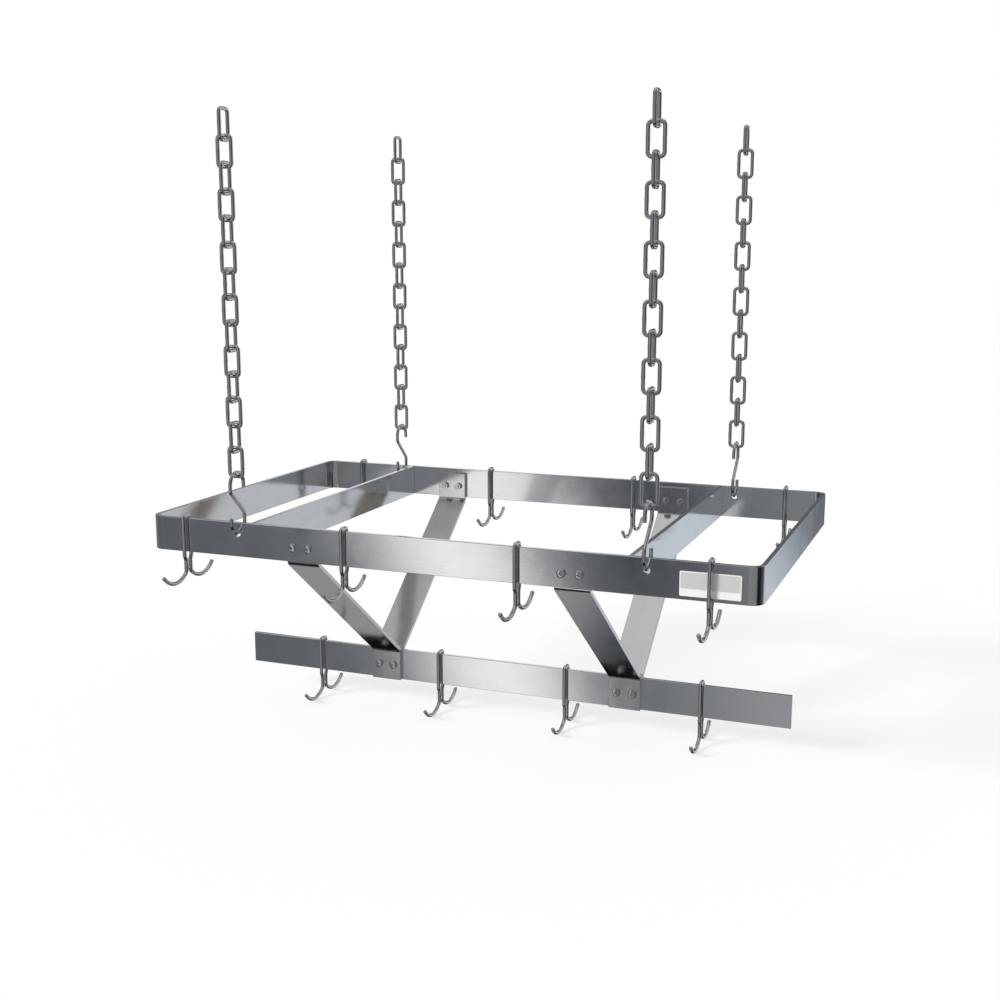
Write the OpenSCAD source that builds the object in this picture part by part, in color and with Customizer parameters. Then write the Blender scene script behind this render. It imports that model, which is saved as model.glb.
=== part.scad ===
// Hanging pot rack: a flat-bar band on four chains, with two crossbars, a lower bar on
// two bent V braces, twelve sliding double pot hooks and four S-hooks.
// X runs along the rack, +Y is its rear side and +Z is up. The origin is in the middle of
// the four hanging points, level with where the top links bear on their ceiling hooks.

/* [Flat bar] */
// Height of every flat bar
bar_h = 50.8; // [40:0.2:70]
// Thickness of every flat bar
bar_t = 6.35; // [4:0.05:10]

/* [Top band] */
// Overall length of the band
band_l = 914.4; // [860:0.2:1100]
// Overall width of the band
band_w = 558.8; // [460:0.2:700]
// Outside radius of the band's four bends
band_bend_r = 19.05; // [14:0.05:30]
// Distance of each crossbar's middle from the rack's middle
crossbar_x = 283.5; // [260:0.5:288]

/* [Lower bar] */
// Length of the lower bar
lower_l = 914.4; // [860:0.2:1100]
// Height between the band and the lower bar
lower_drop = 206.3; // [150:0.1:300]

/* [Braces] */
// Width of each brace strap
brace_w = 50.8; // [40:0.1:56]
// Thickness of each brace strap
brace_t = 6.35; // [3:0.05:8]
// Distance of each brace's middle from the rack's middle
brace_x = 203.2; // [196:0.1:215]
// How far the upper flange ends below the band's top edge
brace_top_gap = 7.3; // [4:0.1:12]
// Height from the band's bottom edge down to the upper bend
brace_bend_drop = 4; // [2:0.1:8]
// Radius of each bend, on the strap's middle line
brace_bend_r = 7; // [5:0.5:12]

/* [Bolts] */
// Diameter of the bolts' shanks
bolt_d = 6.35; // [5:0.05:7]
// Clearance of each bolt in its hole, on the diameter
bolt_play = 0.6; // [0.2:0.1:1]
// Distance between a flange's two bolts
bolt_pitch = 25.4; // [22:0.1:28]
// Height of the upper bolts above the band's bottom edge
bolt_rise = 20; // [15:0.5:28]
// Diameter of the pan heads
head_d = 12.5; // [10:0.1:14]
// Height of the pan heads
head_h = 3.8; // [3:0.1:5]
// Width of the cross recess's slots
recess_w = 1.6; // [1:0.1:2.2]
// Depth of the cross recess
recess_depth = 1.8; // [1:0.1:2.2]
// Hex nuts across their flats
nut_af = 11.1; // [10:0.1:13]
// Height of the hex nuts
nut_h = 5.5; // [4:0.1:7]
// How far a bolt's end stands out of its nut
bolt_end = 1.5; // [0.5:0.1:4]

/* [Chains] */
// Distance of each chain from the rack's middle, along the rack
hang_x = 306.5; // [303:0.1:330]
// Number of links in each chain
chain_links = 14; // [8:1:20]
// Length that each link adds to its chain
link_pitch = 36.2; // [30:0.1:44]
// Diameter of the link's wire
link_wire = 5.5; // [4:0.1:6]
// Outside width of a link
link_w = 26.8; // [24:0.1:32]
// Radius of a link's four corners, on the wire's middle line
link_corner_r = 5.5; // [4.5:0.1:7]

/* [S-hooks] */
// Diameter of the S-hook's wire
s_wire = 5.5; // [4:0.1:6]
// Overall length of an S-hook
s_len = 94.3; // [86:0.1:110]
// Radius of both loops, on the wire's middle line
s_loop_r = 17.5; // [15:0.1:20]
// Length of the straight ends past the loops
s_end = 6; // [2:0.5:9]
// Height of the sloping shank between its two corners
s_shank_h = 34; // [28:0.5:38]
// Radius of the shank's two bends, on the wire's middle line
s_bend_r = 8; // [6:0.5:10]
// Diameter of the holes that the S-hooks pass through
hang_hole_d = 9.5; // [8:0.1:12]
// Depth of the holes' middle below the band's top edge
hang_hole_depth = 17; // [14:0.1:24]

/* [Pot hooks] */
// Diameter of the pot hooks' wire
hook_wire = 6; // [4.5:0.1:6.5]
// Inside radius of the hook's two top bends
hook_top_r = 2.2; // [1.6:0.1:2.4]
// Clearance between a pot hook's top and its bar
hook_play = 0.5; // [0.4:0.05:0.8]
// Clearance between each leg of a pot hook and its bar
hook_gap = 2.2; // [1.8:0.1:3]
// Half the distance between the legs where they are joined, on the wire's middle line
hook_neck = 5.4; // [4:0.1:6.4]
// Depth below the bar at which the legs start to close in
hook_close_top = 5; // [3:0.5:8]
// Depth below the bar at which the legs are closed in
hook_close_low = 13; // [10:0.5:16]
// Length of the joining piece between the legs
hook_join_h = 7.5; // [6:0.5:12.5]
// Depth of the lowest point of the wire's middle line below the bar
hook_depth = 41.5; // [38:0.5:60]
// Radius of the pot hooks' curves, on the wire's middle line
hook_r = 38; // [34:0.5:42]
// Distance of the curves' lowest points from the bar's middle
hook_low_y = 32.5; // [29:0.5:36]
// Height of the tips above the lowest point, on the wire's middle line
hook_tip_rise = 14; // [8:0.5:20]
// Radius of the bend from the leg into the curve
hook_bend_r = 6; // [5:0.5:8]
// How far the outer hooks of the front bar stand from its left and right end
front_outer_hooks = [61.7, 67.2];
// Where the inner hooks of the front bar stand along the rack
front_inner_hooks = [-134.5, 126.5];
// How far the outer hooks of the rear bar stand from its left and right end
rear_outer_hooks = [72.2, 66.2];
// Where the inner hooks of the rear bar stand along the rack
rear_inner_hooks = [-131, 132];
// How far the outer hooks of the lower bar stand from its left and right end
lower_outer_hooks = [131.7, 135.7];
// Where the inner hooks of the lower bar stand along the rack
lower_inner_hooks = [-110, 105.5];

/* [Label] */
// Length of the blank label
label_l = 80; // [40:1:100]
// Height of the blank label
label_h = 33; // [20:1:36]
// Thickness of the blank label
label_t = 0.2; // [0.1:0.05:0.2]
// Distance of the label's middle from the band's right end
label_inset = 67.2; // [62:0.1:75]
// Height of the label's lower edge above the band's bottom edge
label_rise = 5; // [2:0.5:10]

/* [Fits] */
// Running gap between two pieces that turn or slide on each other
run_gap = 0.3; // [0.2:0.05:0.5]

/* [Hidden] */
$fn = 48;
EPS = 0.01;
// Where two lengths of a hook's wire meet: what each is cut back, and the ball over it
JOINT_CUT = 0.1;
JOINT_SWELL = 0.05;
BEND_STEPS = 8;

LEFT = -1;
RIGHT = 1;
FRONT = -1;
REAR = 1;

// Chain, from its bearing point on the ceiling hook down
link_inner = link_pitch + run_gap;
link_side_y = (link_w - link_wire) / 2;
link_end_z = (link_inner + link_wire) / 2;

function link_mid_z(i) = -link_inner / 2 - (i - 1) * link_pitch;
function link_low_z(i) = link_mid_z(i) - link_end_z;

// S-hook
s_top_z = link_low_z(chain_links) + link_wire / 2 + run_gap + s_wire / 2;
s_loop_gap = s_len - s_wire - 2 * s_loop_r;
s_mid_z = s_top_z - s_loop_r - s_loop_gap / 2;
s_low_z = s_mid_z - s_loop_gap / 2 - s_loop_r;
s_slope = atan2(2 * s_loop_r, s_shank_h);
s_shank_end = [
    -s_loop_r + s_bend_r * (1 - cos(s_slope)),
    s_shank_h / 2 - s_bend_r * (sin(s_slope) - tan(s_slope / 2))
];

// The wire of the lower loop rises a little towards the bar's two faces
s_rise_at_face = s_loop_r - sqrt(pow(s_loop_r, 2) - pow(bar_t / 2, 2));
hang_hole_z = s_low_z + s_wire / 2 + s_rise_at_face + run_gap - hang_hole_d / 2;

// Band, lower bar and where they lie
band_top = hang_hole_z + hang_hole_depth;
band_low = band_top - bar_h;
lower_top = band_low - lower_drop;
lower_low = lower_top - bar_h;
bar_y = band_w / 2 - bar_t / 2;
band_inner_y = band_w / 2 - bar_t;

// Bolts
bolt_hole_d = bolt_d + bolt_play;
upper_bolt_z = band_low + bolt_rise;
lower_bolt_z = lower_top - bar_h / 2;
upper_grip = bar_t + brace_t;
lower_grip = bar_t + 2 * brace_t;

// Pot hook: legs, bends and curves, measured from the middle of the bar's lower edge
hook_leg_y = bar_t / 2 + hook_gap + hook_wire / 2;
hook_top_bend = hook_top_r + hook_wire / 2;
hook_top_z = bar_h + hook_play + hook_wire / 2;
hook_curve_z = hook_r - hook_depth;
hook_bend_y = hook_neck + hook_bend_r;
hook_bend_z = hook_curve_z - sqrt(pow(hook_r - hook_bend_r, 2) - pow(hook_low_y - hook_bend_y, 2));
hook_blend_a = atan2(hook_bend_z - hook_curve_z, hook_bend_y - hook_low_y) + 360;
hook_tip_a = 270 + acos((hook_r - hook_tip_rise) / hook_r);
hook_join_low = hook_bend_z - 0.5;
tip_len = hook_wire / 6;

// ---------- Bent wire, drawn in the YZ plane ----------

// A straight run of wire between two points [y, z], less a short piece at both ends
module wire_run(from, to, d, cut = 0) {
    run = to - from;
    translate([0, from[0], from[1]])
        rotate([-atan2(run[0], run[1]), 0, 0])
            translate([0, 0, cut])
                cylinder(h = norm(run) - 2 * cut, d = d);
}

// A bend about [y, z] from one angle to another, both counted from +Y towards +Z
module wire_bend(centre, r, from, to, d, cut = 0) {
    cut_a = cut / r * 180 / PI;
    translate([0, centre[0], centre[1]])
        rotate([90, 0, 90])
            rotate([0, 0, from + cut_a])
                rotate_extrude(angle = to - from - 2 * cut_a)
                    translate([r, 0])
                        circle(d = d);
}

// Balls that are just larger than the wire, over the cuts where its runs and bends meet
module wire_joints(points, d) {
    for (at = points)
        translate([0, at[0], at[1]])
            sphere(d = d + JOINT_SWELL);
}

// A short chamfered end on a wire that arrives at [y, z] along the given angle
module wire_tip(at, angle, d, len) {
    translate([0, at[0], at[1]])
        rotate([angle - 90, 0, 0])
            cylinder(h = len, d1 = d, d2 = d * 2 / 3);
}

// ---------- Chains ----------

// One link in the YZ plane, a rounded rectangle with its middle at the origin
module link() {
    y = link_side_y - link_corner_r;
    z = link_end_z - link_corner_r;
    for (s = [-1, 1]) {
        wire_run([s * link_side_y, -z], [s * link_side_y, z], link_wire);
        wire_run([-y, s * link_end_z], [y, s * link_end_z], link_wire);
    }
    wire_bend([y, z], link_corner_r, 0, 90, link_wire);
    wire_bend([-y, z], link_corner_r, 90, 180, link_wire);
    wire_bend([-y, -z], link_corner_r, 180, 270, link_wire);
    wire_bend([y, -z], link_corner_r, 270, 360, link_wire);
}

// Link i of a chain: odd links stand in the YZ plane and even ones in the XZ plane
module link_of(i, sx, sy) {
    turn = i % 2 == 0 ? 90 : 0;
    translate([sx * hang_x, sy * bar_y, link_mid_z(i)])
        rotate([0, 0, turn])
            link();
}

module top_link(sx, sy) {
    color("silver") link_of(1, sx, sy);
}

module second_link(sx, sy) {
    color("silver") link_of(2, sx, sy);
}

module chain(sx, sy) {
    color("silver")
        for (i = [3 : chain_links])
            link_of(i, sx, sy);
}

// ---------- S-hooks ----------

// Half of an S-hook: its upper loop, its short end and the bend into the sloping shank
module s_hook_half() {
    mid_z = s_loop_gap / 2;
    bend_z = s_shank_h / 2 + s_bend_r * tan(s_slope / 2);
    wire_tip([s_loop_r, mid_z - s_end], -90, s_wire, s_wire / 6);
    wire_run([s_loop_r, mid_z - s_end], [s_loop_r, mid_z], s_wire, JOINT_CUT);
    wire_bend([0, mid_z], s_loop_r, 0, 180, s_wire, JOINT_CUT);
    wire_run([-s_loop_r, mid_z], [-s_loop_r, bend_z], s_wire, JOINT_CUT);
    wire_bend([-s_loop_r + s_bend_r, bend_z], s_bend_r, 180, 180 + s_slope, s_wire, JOINT_CUT);
    wire_joints([
        [s_loop_r, mid_z - s_end], [s_loop_r, mid_z], [-s_loop_r, mid_z],
        [-s_loop_r, bend_z], s_shank_end
    ], s_wire);
}

// The left hooks read as the letter S from the left; the right ones are turned round
module s_hook(sx, sy) {
    color("silver")
        translate([sx * hang_x, sy * bar_y, s_mid_z])
            rotate([0, 0, sx == LEFT ? 0 : 180]) {
                s_hook_half();
                rotate([180, 0, 0]) s_hook_half();
                wire_run(s_shank_end, -s_shank_end, s_wire, JOINT_CUT);
            }
}

// ---------- Flat bars ----------

// A quarter bend of flat bar about the origin, in the corner of the band towards [sx, sy]
module band_bend(sx, sy) {
    turn = sx == RIGHT ? (sy == REAR ? 0 : 270) : (sy == REAR ? 90 : 180);
    translate([sx * (band_l / 2 - band_bend_r), sy * (band_w / 2 - band_bend_r), band_low])
        rotate([0, 0, turn])
            rotate_extrude(angle = 90)
                translate([band_bend_r - bar_t, 0])
                    square([bar_t, bar_h]);
}

// Holes through the front or rear bar, at the given places and height
module holes_through(xs, y, z, d, depth) {
    for (x = xs)
        translate([x, y, z])
            rotate([90, 0, 0])
                cylinder(h = depth, d = d, center = true);
}

bolt_xs = [for (s = [LEFT, RIGHT], t = [-1, 1]) s * brace_x + t * bolt_pitch / 2];

module top_band() {
    straight_l = band_l - 2 * band_bend_r;
    straight_w = band_w - 2 * band_bend_r;
    color("lightsteelblue")
        difference() {
            union() {
                for (sy = [FRONT, REAR])
                    translate([-straight_l / 2, sy * bar_y - bar_t / 2, band_low])
                        cube([straight_l, bar_t, bar_h]);
                for (sx = [LEFT, RIGHT])
                    translate([sx * (band_l - bar_t) / 2 - bar_t / 2, -straight_w / 2, band_low])
                        cube([bar_t, straight_w, bar_h]);
                for (sx = [LEFT, RIGHT], sy = [FRONT, REAR])
                    band_bend(sx, sy);
            }
            for (sy = [FRONT, REAR]) {
                holes_through([-hang_x, hang_x], sy * bar_y, hang_hole_z, hang_hole_d, 2 * bar_t);
                holes_through(bolt_xs, sy * bar_y, upper_bolt_z, bolt_hole_d, 2 * bar_t);
            }
        }
}

module crossbar(side) {
    color("lightsteelblue")
        translate([side * crossbar_x - bar_t / 2, -band_inner_y, band_low])
            cube([bar_t, 2 * band_inner_y, bar_h]);
}

module lower_bar() {
    color("lightsteelblue")
        difference() {
            translate([-lower_l / 2, -bar_t / 2, lower_low])
                cube([lower_l, bar_t, bar_h]);
            holes_through(bolt_xs, 0, lower_bolt_z, bolt_hole_d, 2 * bar_t);
        }
}

// ---------- Braces ----------

// Points of an arc, in 2D
function arc_points(centre, r, a, b) =
    [for (i = [0 : BEND_STEPS]) centre + r * [cos(a + (b - a) * i / BEND_STEPS),
                                              sin(a + (b - a) * i / BEND_STEPS)]];

// Side view [y, z] of the rear strap, from the rear bar down to the lower bar
module strap_profile() {
    top_y = band_inner_y - brace_t;
    low_y = bar_t / 2;
    upper_z = band_low - brace_bend_drop;
    slope = atan2(top_y - low_y, upper_z - lower_top);
    trim = brace_bend_r * tan(slope / 2);
    near_r = brace_bend_r - brace_t / 2;
    far_r = brace_bend_r + brace_t / 2;
    upper_centre = [top_y + brace_t / 2 - brace_bend_r, upper_z + trim];
    lower_centre = [low_y + brace_t / 2 + brace_bend_r, lower_top - trim];
    polygon(concat(
        [[top_y, band_top - brace_top_gap]],
        arc_points(upper_centre, near_r, 0, -slope),
        arc_points(lower_centre, far_r, 180 - slope, 180),
        [[low_y, lower_low], [low_y + brace_t, lower_low]],
        arc_points(lower_centre, near_r, 180, 180 - slope),
        arc_points(upper_centre, far_r, -slope, 0),
        [[top_y + brace_t, band_top - brace_top_gap]]
    ));
}

module brace(sx, sy) {
    color("lightslategray")
        difference() {
            translate([sx * brace_x, 0, 0])
                mirror([0, sy == FRONT ? 1 : 0, 0])
                    rotate([90, 0, 90])
                        translate([0, 0, -brace_w / 2])
                            linear_extrude(brace_w)
                                strap_profile();
            holes_through(bolt_xs, sy * band_inner_y, upper_bolt_z, bolt_hole_d, 4 * brace_t);
            holes_through(bolt_xs, sy * bar_t / 2, lower_bolt_z, bolt_hole_d, 4 * brace_t);
        }
}

// ---------- Bolts ----------

// A pan-head bolt whose head sits on the face at the origin and whose shank runs along +Y
module bolt(grip) {
    shank = grip + nut_h + bolt_end;
    rotate([-90, 0, 0]) cylinder(h = shank, d = bolt_d);
    difference() {
        union() {
            rotate([90, 0, 0]) cylinder(h = head_h * 0.55, d = head_d);
            translate([0, -head_h * 0.55, 0])
                rotate([90, 0, 0])
                    cylinder(h = head_h * 0.45, d1 = head_d, d2 = head_d * 0.72);
        }
        for (turn = [0, 90])
            rotate([0, turn, 0])
                translate([0, -head_h, 0])
                    cube([head_d * 0.5, 2 * recess_depth, recess_w], center = true);
    }
}

// A hex nut on the face at the origin, standing out along +Y
module nut() {
    rotate([-90, 0, 0])
        difference() {
            cylinder(h = nut_h, d = nut_af / cos(30), $fn = 6);
            translate([0, 0, -EPS]) cylinder(h = nut_h + 2 * EPS, d = bolt_d + 2 * EPS);
        }
}

module upper_bolts() {
    color("silver")
        for (sy = [FRONT, REAR], x = bolt_xs)
            translate([x, sy * band_w / 2, upper_bolt_z])
                rotate([0, 0, sy == FRONT ? 0 : 180])
                    bolt(upper_grip);
}

module upper_nuts() {
    color("silver")
        for (sy = [FRONT, REAR], x = bolt_xs)
            translate([x, sy * (band_inner_y - brace_t), upper_bolt_z])
                rotate([0, 0, sy == FRONT ? 0 : 180])
                    nut();
}

module lower_bolts() {
    color("silver")
        for (x = bolt_xs)
            translate([x, -lower_grip / 2, lower_bolt_z])
                bolt(lower_grip);
}

module lower_nuts() {
    color("silver")
        for (x = bolt_xs)
            translate([x, lower_grip / 2, lower_bolt_z])
                nut();
}

// ---------- Label ----------

module blank_label() {
    color("white")
        translate([band_l / 2 - label_inset - label_l / 2, -band_w / 2 - label_t, band_low + label_rise])
            cube([label_l, label_t, label_h]);
}

// ---------- Pot hooks ----------

// One side of a pot hook, from its top bend to its tip
module hook_side() {
    bend_in = hook_leg_y - hook_top_bend;
    leg_top = hook_top_z - hook_top_bend;
    close_step = hook_leg_y - hook_neck;
    close_fall = hook_close_low - hook_close_top;
    close_r = (pow(close_step, 2) + pow(close_fall, 2)) / (4 * close_step);
    close_a = asin(close_fall / 2 / close_r);
    low_mid = [hook_low_y, hook_curve_z];
    tip = low_mid + hook_r * [cos(hook_tip_a), sin(hook_tip_a)];
    wire_bend([bend_in, leg_top], hook_top_bend, 0, 90, hook_wire, JOINT_CUT);
    wire_run([hook_leg_y, leg_top], [hook_leg_y, -hook_close_top], hook_wire, JOINT_CUT);
    wire_bend([hook_leg_y - close_r, -hook_close_top], close_r, -close_a, 0, hook_wire, JOINT_CUT);
    wire_bend([hook_neck + close_r, -hook_close_low], close_r, 180 - close_a, 180, hook_wire, JOINT_CUT);
    wire_run([hook_neck, -hook_close_low], [hook_neck, hook_bend_z], hook_wire, JOINT_CUT);
    wire_bend([hook_bend_y, hook_bend_z], hook_bend_r, 180, hook_blend_a, hook_wire, JOINT_CUT);
    wire_bend(low_mid, hook_r, hook_blend_a, hook_tip_a, hook_wire, JOINT_CUT);
    wire_tip(tip, hook_tip_a - 270, hook_wire, tip_len);
    wire_joints([
        [bend_in, hook_top_z], [hook_leg_y, leg_top], [hook_leg_y, -hook_close_top],
        [(hook_leg_y + hook_neck) / 2, -(hook_close_top + hook_close_low) / 2],
        [hook_neck, -hook_close_low], [hook_neck, hook_bend_z],
        low_mid + hook_r * [cos(hook_blend_a), sin(hook_blend_a)], tip
    ], hook_wire);
}

// A double pot hook, with the middle of its bar's lower edge at the origin
module pot_hook() {
    bend_in = hook_leg_y - hook_top_bend;
    hook_side();
    mirror([0, 1, 0]) hook_side();
    wire_run([-bend_in, hook_top_z], [bend_in, hook_top_z], hook_wire, JOINT_CUT);
    translate([-hook_wire * 0.4, -hook_neck, hook_join_low])
        cube([hook_wire * 0.8, 2 * hook_neck, hook_join_h]);
}

// Place of hook i along a bar, counted from the left
function hook_x(i, bar_l, outer, inner) =
    [outer[0] - bar_l / 2, inner[0], inner[1], bar_l / 2 - outer[1]][i - 1];

module front_hook(i) {
    x = hook_x(i, band_l, front_outer_hooks, front_inner_hooks);
    color("gainsboro") translate([x, -bar_y, band_low]) pot_hook();
}

module rear_hook(i) {
    x = hook_x(i, band_l, rear_outer_hooks, rear_inner_hooks);
    color("gainsboro") translate([x, bar_y, band_low]) pot_hook();
}

module lower_hook(i) {
    x = hook_x(i, lower_l, lower_outer_hooks, lower_inner_hooks);
    color("gainsboro") translate([x, 0, lower_low]) pot_hook();
}

top_band();
crossbar(LEFT);  // left_crossbar
crossbar(RIGHT);  // right_crossbar
lower_bar();
brace(LEFT, FRONT);  // front_left_brace
brace(RIGHT, FRONT);  // front_right_brace
brace(LEFT, REAR);  // rear_left_brace
brace(RIGHT, REAR);  // rear_right_brace
upper_bolts();
upper_nuts();
lower_bolts();
lower_nuts();
blank_label();
front_hook(1);  // front_hook_1
front_hook(2);  // front_hook_2
front_hook(3);  // front_hook_3
front_hook(4);  // front_hook_4
rear_hook(1);  // rear_hook_1
rear_hook(2);  // rear_hook_2
rear_hook(3);  // rear_hook_3
rear_hook(4);  // rear_hook_4
lower_hook(1);  // lower_hook_1
lower_hook(2);  // lower_hook_2
lower_hook(3);  // lower_hook_3
lower_hook(4);  // lower_hook_4
s_hook(LEFT, FRONT);  // front_left_s_hook
s_hook(RIGHT, FRONT);  // front_right_s_hook
s_hook(LEFT, REAR);  // rear_left_s_hook
s_hook(RIGHT, REAR);  // rear_right_s_hook
top_link(LEFT, FRONT);  // front_left_top_link
top_link(RIGHT, FRONT);  // front_right_top_link
top_link(LEFT, REAR);  // rear_left_top_link
top_link(RIGHT, REAR);  // rear_right_top_link
second_link(LEFT, FRONT);  // front_left_second_link
second_link(RIGHT, FRONT);  // front_right_second_link
second_link(LEFT, REAR);  // rear_left_second_link
second_link(RIGHT, REAR);  // rear_right_second_link
chain(LEFT, FRONT);  // front_left_chain
chain(RIGHT, FRONT);  // front_right_chain
chain(LEFT, REAR);  // rear_left_chain
chain(RIGHT, REAR);  // rear_right_chain
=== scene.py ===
# %% [markdown]
# # A hanging pot rack in brushed steel
# The rack is a band of flat steel bar with two crossbars, and a lower bar that four bent
# braces carry below it. It hangs on four chains, and twelve double hooks slide along its
# bars. The measured model comes first. Everything made below is built around it in metres,
# in the same frame, so each piece goes where the measured one stands.

# %% Load the measured rack
import math

import bmesh
import bpy
from mathutils import Matrix, Vector


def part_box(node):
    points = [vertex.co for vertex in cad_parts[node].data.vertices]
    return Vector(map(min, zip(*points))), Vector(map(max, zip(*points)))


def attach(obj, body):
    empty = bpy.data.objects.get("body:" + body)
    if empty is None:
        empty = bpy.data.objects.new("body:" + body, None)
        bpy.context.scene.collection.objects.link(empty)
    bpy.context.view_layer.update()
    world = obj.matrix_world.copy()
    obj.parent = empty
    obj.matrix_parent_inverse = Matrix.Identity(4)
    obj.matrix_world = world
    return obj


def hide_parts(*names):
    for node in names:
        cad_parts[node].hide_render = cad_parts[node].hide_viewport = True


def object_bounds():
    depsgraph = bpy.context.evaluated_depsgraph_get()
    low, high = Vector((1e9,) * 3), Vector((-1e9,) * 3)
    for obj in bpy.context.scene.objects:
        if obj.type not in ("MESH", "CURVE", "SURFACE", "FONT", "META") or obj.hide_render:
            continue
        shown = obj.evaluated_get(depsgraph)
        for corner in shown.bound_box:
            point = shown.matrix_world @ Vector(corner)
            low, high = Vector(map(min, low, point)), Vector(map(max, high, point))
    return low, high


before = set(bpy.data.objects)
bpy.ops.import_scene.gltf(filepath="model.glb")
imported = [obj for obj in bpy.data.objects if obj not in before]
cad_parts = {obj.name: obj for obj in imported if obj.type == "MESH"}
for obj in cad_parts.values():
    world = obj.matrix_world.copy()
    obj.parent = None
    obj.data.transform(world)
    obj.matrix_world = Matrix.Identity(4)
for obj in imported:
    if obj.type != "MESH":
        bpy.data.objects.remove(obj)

cad_low, cad_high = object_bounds()

# %% [markdown]
# ## The camera
# Straight edges of the real rack fix the viewpoint: it stands almost two metres in front of
# the rack's middle, to the right, and half a metre above the band. A camera can be turned
# with angles or with three axes. Axes are used here, because they say directly where its
# right, its top and its back point, and the turn to the left and the tilt down stay easy to
# change.

# %% Place the camera
IMAGE_PIXELS = 1000
FOCAL_PIXELS = 1337.16
SENSOR_MM = 36.0
CAMERA_PLACE = Vector((0.74119, -1.91048, -0.18099))
NEAREST_SEEN = 0.05
FARTHEST_SEEN = 100.0
turn_left = math.radians(21.3582)
tilt_down = math.radians(10.8141)

forward = Vector((
    -math.sin(turn_left) * math.cos(tilt_down),
    math.cos(turn_left) * math.cos(tilt_down),
    -math.sin(tilt_down),
))
to_right = Vector((math.cos(turn_left), math.sin(turn_left), 0.0))
to_top = to_right.cross(forward)

camera_data = bpy.data.cameras.new("camera")
camera_data.sensor_fit = "HORIZONTAL"
camera_data.sensor_width = SENSOR_MM
camera_data.lens = FOCAL_PIXELS / IMAGE_PIXELS * SENSOR_MM
camera_data.clip_start = NEAREST_SEEN
camera_data.clip_end = FARTHEST_SEEN
camera = bpy.data.objects.new("camera", camera_data)
axes = Matrix((to_right, to_top, -forward)).transposed()
camera.matrix_world = Matrix.Translation(CAMERA_PLACE) @ axes.to_4x4()
bpy.context.scene.collection.objects.link(camera)
bpy.context.scene.camera = camera
print("lens:", round(camera_data.lens, 2), "mm")

# %% [markdown]
# ## Brushed flat bar
# Stainless flat bar is ground along its length, which leaves fine parallel lines. They blur
# a reflection and give the steel its grain. A picture of brushed metal could be wrapped
# round the bars, but its lines would turn the wrong way at the bends. Noise that is
# stretched along the bar and squeezed across it gives lines without end and without seams,
# and one stretch serves the bars that run either way, as both lie level.

# %% Nodes and their links, in one call each
def add_node(material, kind, settings=None, feeds=None):
    """A node of one kind, with values for its sockets and links into them"""
    node = material.node_tree.nodes.new(kind)
    for socket, value in (settings or {}).items():
        node.inputs[socket].default_value = value
    for socket, source in (feeds or {}).items():
        material.node_tree.links.new(source, node.inputs[socket])
    return node


def math_node(material, operation, *sources):
    """The result of one sum, fed by numbers and by other nodes' outputs"""
    node = add_node(material, "ShaderNodeMath")
    node.operation = operation
    for socket, source in zip(node.inputs, sources):
        if isinstance(source, (int, float)):
            socket.default_value = source
        else:
            material.node_tree.links.new(source, socket)
    return node.outputs["Value"]


def remap(material, source, start, end, to_start=0.0, to_end=1.0):
    """Goes from to_start to to_end while source goes from start to end"""
    node = add_node(
        material, "ShaderNodeMapRange",
        {"From Min": start, "From Max": end, "To Min": to_start, "To Max": to_end},
        {"Value": source},
    )
    return node.outputs["Result"]


def colour_between(material, share, first, second):
    """The first colour where share is nought, and the second where it is one"""
    mix = add_node(material, "ShaderNodeMix", feeds={"Factor": share})
    mix.data_type = "RGBA"
    mix.inputs["A"].default_value = (*first, 1.0)
    mix.inputs["B"].default_value = (*second, 1.0)
    return mix.outputs["Result"]


# %% Steel with a grain
MM = 0.001
CLOUDS_PER_METRE = 22.0
GRAIN_DEPTH = 0.05 * MM
TONE_RANGE = (0.12, 0.40)
GLOSS_RANGE = (0.3, 0.7)


def grained_steel(name, dark, light, grain, smooth, dull, depth):
    """Metal between two tints and two roughnesses, with noise stretched by grain per metre"""
    material = bpy.data.materials.new(name)
    material.use_nodes = True
    shader = material.node_tree.nodes["Principled BSDF"]
    shader.inputs["Metallic"].default_value = 1.0
    place = add_node(material, "ShaderNodeTexCoord").outputs["Object"]
    stretched = add_node(material, "ShaderNodeMapping", {"Scale": grain}, {"Vector": place})
    lines = add_node(
        material, "ShaderNodeTexNoise",
        {"Scale": 1.0, "Detail": 4.0, "Roughness": 0.6},
        {"Vector": stretched.outputs["Vector"]},
    ).outputs["Fac"]
    clouds = add_node(
        material, "ShaderNodeTexNoise",
        {"Scale": CLOUDS_PER_METRE, "Detail": 5.0, "Roughness": 0.65},
        {"Vector": place},
    ).outputs["Fac"]
    tone = remap(material, math_node(material, "MULTIPLY", lines, clouds), *TONE_RANGE)
    bump = add_node(
        material, "ShaderNodeBump", {"Strength": depth, "Distance": GRAIN_DEPTH}, {"Height": lines}
    )
    finish = {
        "Base Color": colour_between(material, tone, dark, light),
        "Roughness": remap(material, clouds, *GLOSS_RANGE, smooth, dull),
        "Normal": bump.outputs["Normal"],
    }
    for socket, source in finish.items():
        material.node_tree.links.new(source, shader.inputs[socket])
    return material


level_bar_steel = grained_steel(
    "level_bar_steel", dark=(0.82, 0.835, 0.85), light=(0.90, 0.91, 0.92), grain=(2, 2, 1400),
    smooth=0.08, dull=0.13, depth=0.3,
)
brace_steel = grained_steel(
    "brace_steel", dark=(0.74, 0.75, 0.755), light=(0.83, 0.835, 0.84), grain=(1400, 2, 2),
    smooth=0.11, dull=0.16, depth=0.3,
)
print("made:", level_bar_steel.name, brace_steel.name)

# %% [markdown]
# ## One way to make every bar and wire
# Bar, strap and wire are all a cross section that runs along a line. A curve object with a
# bevel could do it, but a curve gives no hold on its ends. So one function carries a section
# along a flat path and joins ring to ring. The section's first number is measured across
# the path, in its plane, and the second along the direction that the plane faces.


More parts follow.
